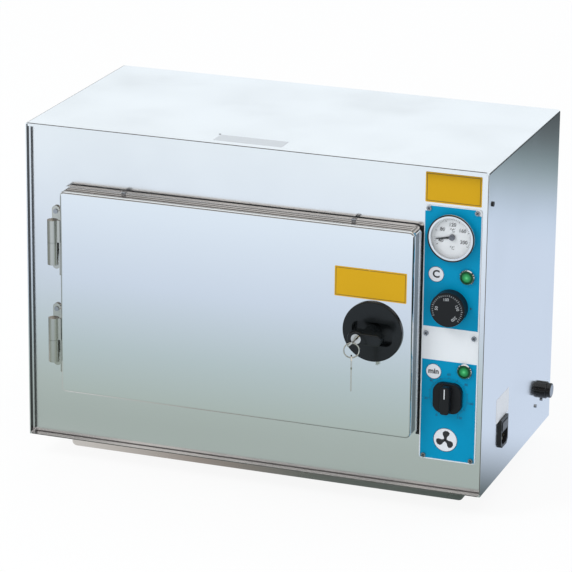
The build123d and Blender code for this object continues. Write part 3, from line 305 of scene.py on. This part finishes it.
def mesh_piece(name, verts, faces, mat, body):
    """Object from corners and faces, with its material and body."""
    mesh = bpy.data.meshes.new(name)
    mesh.from_pydata(verts, [], faces)
    mesh.materials.append(mat)
    mesh.update()
    obj = bpy.data.objects.new(name, mesh)
    scene.collection.objects.link(obj)
    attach(obj, body)
    return obj


def front_place(u, v, y):
    """Point on the front: u along +X, v along +Z."""
    return (u, y, v)


def right_place(u, v, x):
    """Point on the right side: u along +Y, v along +Z."""
    return (x, u, v)


def top_place(u, v, z):
    """Point on the top: u along +X, v along +Y."""
    return (u, v, z)


def film(name, outline, level, mat, body, place=front_place, thick=FILM, outward=-1):
    """Thin printed piece with the given outline, lying on the level and standing out by thick."""
    low = [place(u, v, level) for u, v in outline]
    high = [place(u, v, level + outward * thick) for u, v in outline]
    count = len(outline)
    sides = [(i, (i + 1) % count, (i + 1) % count + count, i + count) for i in range(count)]
    faces = [tuple(range(count)), tuple(range(2 * count - 1, count - 1, -1)), *sides]
    obj = mesh_piece(name, low + high, faces, mat, body)
    work = bmesh.new()
    work.from_mesh(obj.data)
    bmesh.ops.recalc_face_normals(work, faces=work.faces)
    work.to_mesh(obj.data)
    work.free()
    return obj


def circle(u, v, radius, count=48, start=0.0, sweep=360.0):
    """Points of a circle, or of an arc with both its ends."""
    turns = [math.radians(start + sweep * i / count) for i in range(count + (sweep < 360))]
    return [(u + radius * math.cos(t), v + radius * math.sin(t)) for t in turns]


def oblong(u0, v0, u1, v1):
    """Outline of a rectangle."""
    return [(u0, v0), (u1, v0), (u1, v1), (u0, v1)]


def rounded(u0, v0, u1, v1, radius):
    """Outline of a rectangle with rounded corners."""
    corners = [
        (u1 - radius, v1 - radius, 0), (u0 + radius, v1 - radius, 90),
        (u0 + radius, v0 + radius, 180), (u1 - radius, v0 + radius, 270),
    ]
    return [p for u, v, start in corners for p in circle(u, v, radius, 6, start, 90)]


def ring_film(name, u, v, outer, inner, level, mat, body, count=48):
    """Flat ring on the front, lying on the level and standing out by the film's thickness."""
    verts = []
    for height in (level, level - FILM):
        for radius in (outer, inner):
            verts += [front_place(p, q, height) for p, q in circle(u, v, radius, count)]
    faces = []
    for i in range(count):
        k = (i + 1) % count
        faces.append((i + 2 * count, k + 2 * count, k + 3 * count, i + 3 * count))
        faces.append((i, k, k + 2 * count, i + 2 * count))
        faces.append((i + count, i + 3 * count, k + 3 * count, k + count))
    return mesh_piece(name, verts, faces, mat, body)


def frame_film(name, box, inset, width, level, body):
    """Brown rectangle line printed inside a label on the front."""
    u0, v0, u1, v1 = box[0] + inset, box[1] + inset, box[2] - inset, box[3] - inset
    for step, bar in enumerate((
        (u0, v0, u1, v0 + width), (u0, v1 - width, u1, v1),
        (u0, v0 + width, u0 + width, v1 - width), (u1 - width, v0 + width, u1, v1 - width),
    )):
        film(f"{name}_{step}", oblong(*bar), level, LABEL_BROWN, body, thick=THIN)


def ticks(name, u, v, level, marks, mat, body):
    """Radial tick marks on the front: marks are (angle, inner radius, outer radius, width)."""
    verts, faces = [], []
    for angle, inner, outer, width in marks:
        along = Vector((math.cos(math.radians(angle)), math.sin(math.radians(angle))))
        side = Vector((-along.y, along.x)) * width / 2
        base = len(verts)
        for radius, sign in ((inner, -1), (outer, -1), (outer, 1), (inner, 1)):
            point = Vector((u, v)) + along * radius + side * sign
            verts.append(front_place(point.x, point.y, level))
        faces.append((base, base + 1, base + 2, base + 3))
    return mesh_piece(name, verts, faces, mat, body)


def words(name, text, u, v, size, level, mat, body, turn=0.0, bold=0.0):
    """Flat lettering on the front, centred on (u, v)."""
    curve = bpy.data.curves.new(name, "FONT")
    curve.body = text
    curve.size = size
    curve.align_x = "CENTER"
    curve.align_y = "CENTER"
    curve.offset = bold
    curve.resolution_u = 3
    holder = bpy.data.objects.new(name + "_curve", curve)
    scene.collection.objects.link(holder)
    bpy.context.view_layer.update()
    shape = bpy.data.meshes.new_from_object(holder.evaluated_get(bpy.context.evaluated_depsgraph_get()))
    bpy.data.objects.remove(holder)
    spin = Matrix.Rotation(math.radians(turn), 4, "Z")
    stand = Matrix.Translation((u, level, v)) @ Matrix.Rotation(math.radians(90), 4, "X")
    shape.transform(stand @ spin)
    shape.name = name
    shape.materials.clear()
    shape.materials.append(mat)
    obj = bpy.data.objects.new(name, shape)
    scene.collection.objects.link(obj)
    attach(obj, body)
    return obj


# Control plate: two blue fields on the white plate, the upper one notched round its top screws
PLATE_LEFT, PLATE_BOTTOM, PLATE_RIGHT, PLATE_TOP = 0.21085, 0.0645, 0.28035, 0.3775
PLATE_BORDER = 0.0014
NOTCH_RADIUS = 0.0068
NOTCH_OUT = 0.0006
WHITE_BAND_TOP = 0.2300
WHITE_BAND_BOTTOM = 0.1890
FIELD_Y = PLATE_Y - FILM

left, right = PLATE_LEFT + PLATE_BORDER, PLATE_RIGHT - PLATE_BORDER
bottom, top = PLATE_BOTTOM + PLATE_BORDER, PLATE_TOP - PLATE_BORDER


def notch(u, v, start):
    """Round bite out of a corner of the upper field."""
    return circle(u, v, NOTCH_RADIUS, 10, start, -90)


upper_field = [(left, WHITE_BAND_TOP), (right, WHITE_BAND_TOP)]
upper_field += notch(right + NOTCH_OUT, top + NOTCH_OUT, 270)
upper_field += notch(left - NOTCH_OUT, top + NOTCH_OUT, 360)
film("blue_field_upper", upper_field, PLATE_Y, BLUE, "cabinet")
lower_field = oblong(left, bottom, right, WHITE_BAND_BOTTOM)
film("blue_field_lower", lower_field, PLATE_Y, BLUE, "cabinet")

# Discs with a letter, a word and a fan sign
DISC_EDGE = 0.0005
SMALL_DISC, FAN_DISC = 0.0095, 0.01475
FAN_U, FAN_V = 0.2432, 0.0910
for name, u, v, radius in (
    ("disc_temperature", 0.2268, 0.2944, SMALL_DISC),
    ("disc_minutes", 0.2267, 0.1748, SMALL_DISC),
    ("disc_fan", FAN_U, FAN_V, FAN_DISC),
):
    film(name, circle(u, v, radius), FIELD_Y, LABEL_WHITE, "cabinet")
    ring_film(
        name + "_edge", u, v, radius, radius - DISC_EDGE, FIELD_Y - FILM, SCALE_INK, "cabinet",
    )
SIGN_Y = FIELD_Y - FILM * 1.6
words("letter_c", "C", 0.2268, 0.2944, 0.0125, SIGN_Y, INK, "cabinet", bold=0.0004)
words("word_min", "min", 0.2267, 0.1750, 0.0088, SIGN_Y, INK, "cabinet", bold=0.0003)

# A fan blade's outline as (distance from the hub, angle from the blade's own direction)
BLADE = (
    (0.0014, 90), (0.0040, 34), (0.0070, 35), (0.0096, 28), (0.0113, 12),
    (0.0116, -6), (0.0106, -22), (0.0080, -27), (0.0044, -22), (0.0014, -90),
)
for step, angle in enumerate((82, 200, 318)):
    turns = [(radius, math.radians(angle + lean)) for radius, lean in BLADE]
    blade = [(FAN_U + radius * math.cos(turn), FAN_V + radius * math.sin(turn)) for radius, turn in turns]
    film(f"fan_sign_{step}", blade, FIELD_Y - FILM, INK, "cabinet")

# Cross recesses in the plate's six screws
ARM, ARM_WIDTH = 0.0021, 0.0009
for column, u in enumerate((0.21635, 0.27485)):
    for row, v in enumerate((0.06865, 0.2210, 0.37335)):
        ticks(
            f"screw_cross_{column}_{row}", u, v, SCREW_HEAD_Y - THIN,
            [(angle, -ARM, ARM, ARM_WIDTH) for angle in (40, 130)], INK, "cabinet",
        )

# Dark rims of the two green lenses
for name, v in LAMP_V.items():
    ring_film(f"lamp_edge_{name}", LAMP_U, v, 0.0082, 0.0067, LAMP_RIM_Y, LAMP_EDGE, "cabinet")

# Thermometer dial: scale, figures, degree signs and hub
DIAL_Y = DIAL_FACE_Y - THIN
DIAL_START, DIAL_STEP, DIAL_TICKS = 208, 5.9, 41
DIAL_TICK_END = 0.0222
FIGURE_RADIUS, FIGURE_START, FIGURE_STEP = 0.0148, 201, 55
scale = []
for step in range(DIAL_TICKS):
    major = step % 8 == 0
    inner, width = (0.0195, 0.0005) if major else (0.0207, 0.0003)
    scale.append((DIAL_START - step * DIAL_STEP, inner, DIAL_TICK_END, width))
ticks("dial_scale", PLATE_X, THERMOMETER_V, DIAL_Y, scale, INK, "cabinet")
for step, figure in enumerate(("40", "80", "120", "160", "200")):
    angle = math.radians(FIGURE_START - step * FIGURE_STEP)
    words(
        f"dial_figure_{figure}", figure,
        PLATE_X + FIGURE_RADIUS * math.cos(angle), THERMOMETER_V + FIGURE_RADIUS * math.sin(angle),
        0.0060, DIAL_Y, INK, "cabinet", bold=0.00012,
    )
for name, above, size in (("dial_degree", 0.0082, 0.0056), ("dial_unit", -0.0130, 0.0052)):
    words(
        name, "°C", PLATE_X, THERMOMETER_V + above, size,
        DIAL_Y, INK, "cabinet", bold=0.0001,
    )
film(
    "needle_hub", circle(PLATE_X, THERMOMETER_V, 0.0036, 32), HUB_Y, HUB,
    "thermometer_needle", thick=0.0006,
)

# Thermostat knob: figures and ticks on its face, and its index on the plate
KNOB_FACE = THERMOSTAT_FACE_Y - THIN
KNOB_FIGURE_RADIUS = 0.0128
KNOB_START, KNOB_STEP, KNOB_TICKS = 205, 8.2, 31
KNOB_TICK_START, KNOB_TICK_WIDTH = 0.0168, 0.0004
knob_marks = []
for step in range(KNOB_TICKS):
    outer = 0.0186 if step % 5 else 0.0192
    knob_marks.append((KNOB_START - step * KNOB_STEP, KNOB_TICK_START, outer, KNOB_TICK_WIDTH))
ticks("knob_scale", PLATE_X, THERMOSTAT_V, KNOB_FACE, knob_marks, WHITE_INK, "thermostat_knob")
for figure, angle in (("50", 175), ("100", 97), ("150", 20), ("200", -48)):
    turn = math.radians(angle)
    words(
        f"knob_figure_{figure}", figure,
        PLATE_X + KNOB_FIGURE_RADIUS * math.cos(turn), THERMOSTAT_V + KNOB_FIGURE_RADIUS * math.sin(turn),
        0.0050, KNOB_FACE, WHITE_INK, "thermostat_knob", turn=angle - 90,
    )
KNOB_INDEX = [(0.2690, 0.2562), (0.2716, 0.2572), (0.2690, 0.2582)]
film("knob_index", KNOB_INDEX, FIELD_Y, INK, "cabinet")

# Timer knob: ring of marks on the plate, one for each two minutes, and a figure for each twenty
TIMER_SCALE_Y = FIELD_Y - THIN
TIMER_FIGURE_RADIUS = 0.0280
TIMER_START, TIMER_STEP, TIMER_TICKS = 240, 5, 61
TIMER_TICK_START = 0.0222
timer_marks = []
for step in range(TIMER_TICKS):
    outer, width = (0.0240, 0.0003) if step % 5 else (0.0250, 0.0005)
    timer_marks.append((TIMER_START - step * TIMER_STEP, TIMER_TICK_START, outer, width))
ticks("timer_scale", PLATE_X, TIMER_V, TIMER_SCALE_Y, timer_marks, SCALE_INK, "cabinet")
for step in range(0, 13, 2):
    angle = math.radians(TIMER_START - step * 5 * TIMER_STEP)
    words(
        f"timer_figure_{step}", str(step * 10),
        PLATE_X + TIMER_FIGURE_RADIUS * math.cos(angle), TIMER_V + TIMER_FIGURE_RADIUS * math.sin(angle),
        0.0044, TIMER_SCALE_Y, SCALE_INK, "cabinet",
    )

# White line on the timer knob's finger bar
film(
    "timer_line", oblong(0.2451, 0.1480, 0.2461, 0.1600), TIMER_FACE_Y, PLATE_WHITE,
    "timer_knob", thick=THIN,
)

# Bare labels: above the plate, on the door, on the right side and on the top
UPPER_LABEL = (0.2110, 0.3805, 0.2790, 0.4167)
film("label_upper", rounded(*UPPER_LABEL, 0.001), PANEL_Y, LABEL_YELLOW, "cabinet")
frame_film("label_upper_line", UPPER_LABEL, 0.0016, 0.0007, PANEL_Y - FILM, "cabinet")
DOOR_LABEL = (0.1097, 0.2610, 0.1982, 0.2977)
film("label_door", rounded(*DOOR_LABEL, 0.001), DOOR_Y, LABEL_YELLOW, "door")
frame_film("label_door_line", DOOR_LABEL, 0.0014, 0.0006, DOOR_Y - FILM, "door")
film(
    "label_side", rounded(-0.0030, 0.0990, 0.0490, 0.1295, 0.0015), CASING_RIGHT, LABEL_WHITE, "cabinet",
    right_place, FILM, 1,
)
film(
    "label_top", rounded(-0.0530, -0.0510, 0.0335, -0.0255, 0.0008), CASING_TOP, LABEL_GREY, "cabinet",
    top_place, LEAST, 1,
)
film(
    "label_top_dot", circle(-0.0545, -0.0240, 0.0016, 16), CASING_TOP, INK, "cabinet",
    top_place, LEAST, 1,
)

# Face of the inlet's drawer, and the pale end of the fuse cap
film(
    "inlet_drawer", rounded(0.0138, 0.0855, 0.0352, 0.0955, 0.001), DRAWER_X, DRAWER,
    "cabinet", right_place, FILM, 1,
)
film(
    "fuse_cap_end", circle(0.1970, 0.0765, 0.0072, 32), FUSE_CAP_X, CAP_END, "fuse_cap",
    right_place, LEAST, 1,
)

# Painted shade and reflection: two dark lines along the door's top edge, and a darker band of painted shade
# along its right edge
TOP_LINE_WIDTH = 0.0028
for step, y in enumerate((-0.0700, -0.0630)):
    film(
        f"door_top_line_{step}", oblong(-0.2350, y, 0.2000, y + TOP_LINE_WIDTH), DOOR_TOP, EDGE_SHADE_AND_REFLECTION, "door",
        top_place, THIN, 1,
    )
# Painted shade: a dark band on the door's right side face
film(
    "door_painted_side_shade", oblong(-0.0690, 0.0990, -0.0600, 0.3440), DOOR_RIGHT, SIDE_SHADE, "door",
    right_place, THIN, 1,
)

# Painted shade: a dark strip on the front panel between the door and the control plate, where the gap beside
# the door lies in shadow
film(
    "door_gap_painted_shade", oblong(DOOR_RIGHT, 0.0930, 0.2105, 0.3510), PANEL_Y, GASKET_AND_GAP_SHADE, "cabinet",
    thick=THIN,
)

# Painted reflection: a dark line round the thermometer's rim
ring_film(
    "thermometer_rim_painted_reflection", PLATE_X, THERMOMETER_V, 0.0284, 0.0268, THERMOMETER_RIM_Y, RIM_SHADE_AND_REFLECTION, "cabinet",
    64,
)

# Painted shade: dark lines along the casing's front edges, and one in the corner above its lower rim
for name, box, level in (
    ("rim_line_top", (-0.2870, 0.4250, 0.2870, 0.4259), RIM_Y),
    ("rim_line_right", (0.2890, 0.0310, 0.2898, 0.4230), RIM_Y),
    ("rim_line_bottom", (-0.2870, 0.0281, 0.2870, 0.0290), RIM_Y),
    ("rim_corner_bottom", (-0.2860, 0.0293, 0.2860, 0.0301), PANEL_Y),
):
    film(name, oblong(*box), level, EDGE_SHADE_AND_REFLECTION, "cabinet", thick=THIN)

# Painted shade: the dark inner face of the casing's left rim
film(
    "rim_left_painted_shade", oblong(-0.0615, 0.0305, -0.0545, 0.4235), RIM_INSIDE_X, RIM_SHADE_AND_REFLECTION, "cabinet",
    right_place, THIN, 1,
)

# Floor, backdrop and light


def mirrored_floor(mat):
    """What steel mirrors of the floor. To the front grey-green, turning pale blue with distance; beneath the
    foot rail light at the left and dark at the right; to the rear pale blue, then dark; beside the casing
    grey at the left and nearly black at the right."""
    place = add_node(mat, "ShaderNodeNewGeometry")
    parts = add_node(mat, "ShaderNodeSeparateXYZ")
    join(mat, place.outputs["Position"], parts.inputs["Vector"])
    across, along = parts.outputs["X"], parts.outputs["Y"]

    near = ramp(mat, [
        (0.0, (0.40, 0.46, 0.43)), (0.10, (0.44, 0.51, 0.48)), (0.24, (0.50, 0.59, 0.61)),
        (0.46, (0.66, 0.74, 0.86)), (0.75, (0.80, 0.88, 0.98)), (1.0, (0.88, 0.95, 1.0)),
    ])
    join(mat, span(mat, along, -0.20, -1.40, "LINEAR"), near.inputs["Fac"])
    under_rail = ramp(mat, [
        (0.0, (0.80, 0.78, 0.76)), (0.35, (0.34, 0.30, 0.27)),
        (0.60, (0.12, 0.135, 0.12)), (1.0, (0.05, 0.07, 0.06)),
    ])
    join(mat, span(mat, across, -0.30, 0.30, "LINEAR"), under_rail.inputs["Fac"])
    front = blend(mat, near.outputs["Color"], under_rail.outputs["Color"], span(mat, along, -0.13, -0.09))
    far = ramp(mat, [
        (0.0, (0.64, 0.73, 0.87)), (0.15, (0.60, 0.70, 0.84)), (0.27, (0.50, 0.59, 0.70)),
        (0.40, (0.37, 0.45, 0.50)), (0.52, (0.24, 0.31, 0.33)), (0.70, (0.13, 0.155, 0.165)),
        (1.0, (0.06, 0.07, 0.075)),
    ])
    join(mat, span(mat, along, 1.00, 1.85, "LINEAR"), far.inputs["Fac"])
    whole = blend(mat, front, far.outputs["Color"], span(mat, along, -0.05, 0.25))

    distance = add_node(mat, "ShaderNodeMath", operation="ABSOLUTE")
    join(mat, across, distance.inputs[0])
    beside = times(mat, span(mat, distance.outputs[0], 0.60, 0.80), span(mat, along, -1.00, -0.80))
    beside = times(mat, beside, span(mat, along, 0.40, 0.20))
    sides = ramp(mat, [(0.0, (0.34, 0.37, 0.37)), (1.0, (0.03, 0.035, 0.035))])
    join(mat, span(mat, across, -0.30, 0.30), sides.inputs["Fac"])
    return blend(mat, whole, sides.outputs["Color"], beside)


def floor_material():
    """White floor with a weak soft shadow, and other tones where steel mirrors it."""
    glow_share = 0.9
    mat = bpy.data.materials.new("floor")
    mat.use_nodes = True
    mat.node_tree.nodes.clear()
    out = add_node(mat, "ShaderNodeOutputMaterial")
    plain = add_node(mat, "ShaderNodeBsdfDiffuse")
    plain.inputs["Color"].default_value = (0.97, 0.97, 0.97, 1)
    white = add_node(mat, "ShaderNodeEmission")
    white.inputs["Color"].default_value = (1, 1, 1, 1)
    glow = add_node(mat, "ShaderNodeEmission")
    join(mat, mirrored_floor(mat), glow.inputs["Color"])

    paths = add_node(mat, "ShaderNodeLightPath")
    seen = add_node(mat, "ShaderNodeMixShader")
    join(mat, times(mat, paths.outputs["Is Camera Ray"], glow_share), seen.inputs["Fac"])
    join(mat, plain.outputs["BSDF"], seen.inputs[1])
    join(mat, white.outputs["Emission"], seen.inputs[2])
    choose = add_node(mat, "ShaderNodeMixShader")
    join(mat, paths.outputs["Is Glossy Ray"], choose.inputs["Fac"])
    join(mat, seen.outputs["Shader"], choose.inputs[1])
    join(mat, glow.outputs["Emission"], choose.inputs[2])
    join(mat, choose.outputs["Shader"], out.inputs["Surface"])
    return mat


FLOOR_REACH = 12.0
floor_corners = oblong(-FLOOR_REACH, -FLOOR_REACH, FLOOR_REACH, FLOOR_REACH)
floor_mesh = bpy.data.meshes.new("floor")
floor_mesh.from_pydata([(u, v, 0) for u, v in floor_corners], [], [(0, 1, 2, 3)])
floor_mesh.materials.append(floor_material())
floor = bpy.data.objects.new("floor", floor_mesh)
scene.collection.objects.link(floor)


def mirrored_sky(world, sky, toward, height):
    """What steel mirrors of the room. On the camera's side a dark studio with one light strip under a bright
    ceiling; to the rear a bright sky over a dark horizon, crossed by a dark band."""
    studio = ramp(world, [
        (0.0, (0.90, 0.95, 1.0)), (0.04, (0.015, 0.016, 0.016)), (0.21, (0.03, 0.028, 0.026)),
        (0.27, (0.80, 0.75, 0.71)), (0.36, (0.80, 0.75, 0.71)), (0.42, (0.03, 0.03, 0.03)),
        (0.64, (0.03, 0.03, 0.03)), (0.76, (0.98, 0.99, 1.0)),
    ])
    join(world, height, studio.inputs["Fac"])
    with_studio = blend(world, sky, studio.outputs["Color"], span(world, toward, -0.15, -0.30))
    rear_sky = plain_color(world, (1.02, 1.09, 1.14))
    with_rear = blend(world, with_studio, rear_sky, span(world, toward, 0.15, 0.35))
    dark = plain_color(world, (0.10, 0.11, 0.115))
    horizon = times(world, span(world, toward, 0.2, 0.4), span(world, height, 0.18, 0.10))
    band = times(world, span(world, height, 0.44, 0.50), span(world, height, 0.78, 0.72))
    band = times(world, band, span(world, toward, 0.2, 0.4))
    return blend(world, blend(world, with_rear, dark, horizon), dark, band)


def studio_world():
    """White where the camera sees it, soft pale light elsewhere."""
    world = bpy.data.worlds.new("studio")
    world.use_nodes = True
    world.node_tree.nodes.clear()
    out = add_node(world, "ShaderNodeOutputWorld")
    white = add_node(world, "ShaderNodeBackground")
    white.inputs["Color"].default_value = (1, 1, 1, 1)
    white.inputs["Strength"].default_value = 1.0
    light = add_node(world, "ShaderNodeBackground")
    light.inputs["Strength"].default_value = 0.92
    place = add_node(world, "ShaderNodeTexCoord")
    parts = add_node(world, "ShaderNodeSeparateXYZ")
    join(world, place.outputs["Generated"], parts.inputs["Vector"])
    toward, height = parts.outputs["Y"], parts.outputs["Z"]
    tones = ramp(world, [
        (0.0, (0.62, 0.68, 0.76)), (0.5, (0.80, 0.87, 0.95)),
        (0.62, (0.93, 0.97, 1.0)), (1.0, (0.98, 0.99, 1.0)),
    ])
    join(world, span(world, height, -1.0, 1.0, "LINEAR"), tones.inputs["Fac"])
    sky = tones.outputs["Color"]
    mirrored = mirrored_sky(world, sky, toward, height)
    paths = add_node(world, "ShaderNodeLightPath")
    join(world, blend(world, sky, mirrored, paths.outputs["Is Glossy Ray"]), light.inputs["Color"])
    choose = add_node(world, "ShaderNodeMixShader")
    join(world, paths.outputs["Is Camera Ray"], choose.inputs["Fac"])
    join(world, light.outputs["Background"], choose.inputs[1])
    join(world, white.outputs["Background"], choose.inputs[2])
    join(world, choose.outputs["Shader"], out.inputs["Surface"])
    return world


scene.world = studio_world()

# Soft key light from the front left, left out of reflections
key_data = bpy.data.lights.new("key", "AREA")
key_data.shape = "SQUARE"
key_data.size = 1.2
key_data.energy = 30
key_light = bpy.data.objects.new("key", key_data)
key_light.location = (-1.6, -1.8, 2.6)
aim = Vector((0, 0, 0.2)) - key_light.location
key_light.rotation_euler = aim.to_track_quat("-Z", "Y").to_euler()
scene.collection.objects.link(key_light)
key_light.visible_glossy = False

# Camera: a plain perspective view near the photo's own, from the front right and a little above
AZIMUTH, ELEVATION, ROLL = (math.radians(degrees) for degrees in (19.954, 18.102, 0.615))
CAMERA_PLACE = (1.28926, -3.49041, 1.45259)
FRAME_PIXELS = 572
FOCAL_PIXELS = 3251
SENSOR_WIDTH = 36

level_part = math.cos(ELEVATION)
back = Vector((math.sin(AZIMUTH) * level_part, -math.cos(AZIMUTH) * level_part, math.sin(ELEVATION)))
side = Vector((math.cos(AZIMUTH), math.sin(AZIMUTH), 0))
rise = back.cross(side)
turned_side = math.cos(ROLL) * side + math.sin(ROLL) * rise
turned_rise = -math.sin(ROLL) * side + math.cos(ROLL) * rise

camera_data = bpy.data.cameras.new("camera")
camera_data.sensor_width = SENSOR_WIDTH
camera_data.lens = FOCAL_PIXELS / FRAME_PIXELS * SENSOR_WIDTH
camera_data.clip_end = 60
camera = bpy.data.objects.new("camera", camera_data)
scene.collection.objects.link(camera)
axes = Matrix((turned_side, turned_rise, back)).transposed().to_4x4()
camera.matrix_world = Matrix.Translation(CAMERA_PLACE) @ axes
scene.camera = camera

scene.view_settings.view_transform = "Standard"
